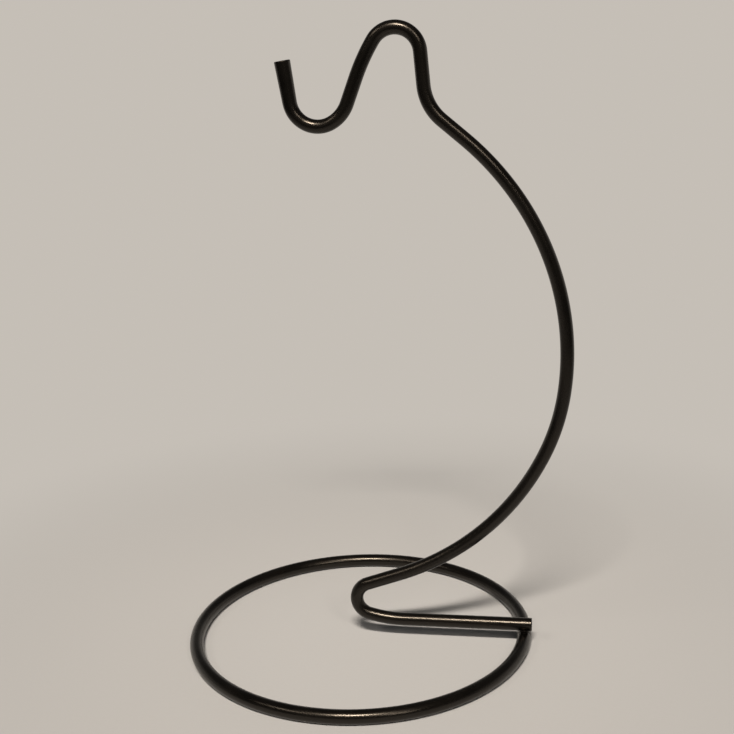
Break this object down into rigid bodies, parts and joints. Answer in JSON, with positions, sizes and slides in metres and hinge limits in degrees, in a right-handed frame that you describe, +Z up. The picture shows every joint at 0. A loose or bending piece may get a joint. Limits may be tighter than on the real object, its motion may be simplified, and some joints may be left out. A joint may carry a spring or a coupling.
{
  "type": "ornament stand",
  "caption": "Free-standing ornament stand of bent black wire: a flat ring base carries a bowed stem that ends in a rounded crown and an open hanging hook.",
  "frame": {"origin": "on the table under the middle of the stand's footprint box, 7.3 mm from the base ring's centre on the bow's side", "axes": "+Z up from the table to the crown, +X along the stem's foot from the ring's middle to the ring's edge below the bow, +Y square to the stem's plane"},
  "size_m": [0.1416, 0.127, 0.2216],
  "materials": {
    "ring_coating": "semi-gloss black coating, slightly warm",
    "seam_coating": "semi-gloss black coating over a dressed butt weld",
    "stem_coating": "semi-gloss black coating, slightly warm",
    "weld_coating": "satin black coating over a small weld"
  },
  "bodies": {
    "root": {"base_ring": "ring_coating", "ring_seam_weld": "seam_coating", "stem_wire": "stem_coating", "foot_weld": "weld_coating"}
  },
  "joints": []
}
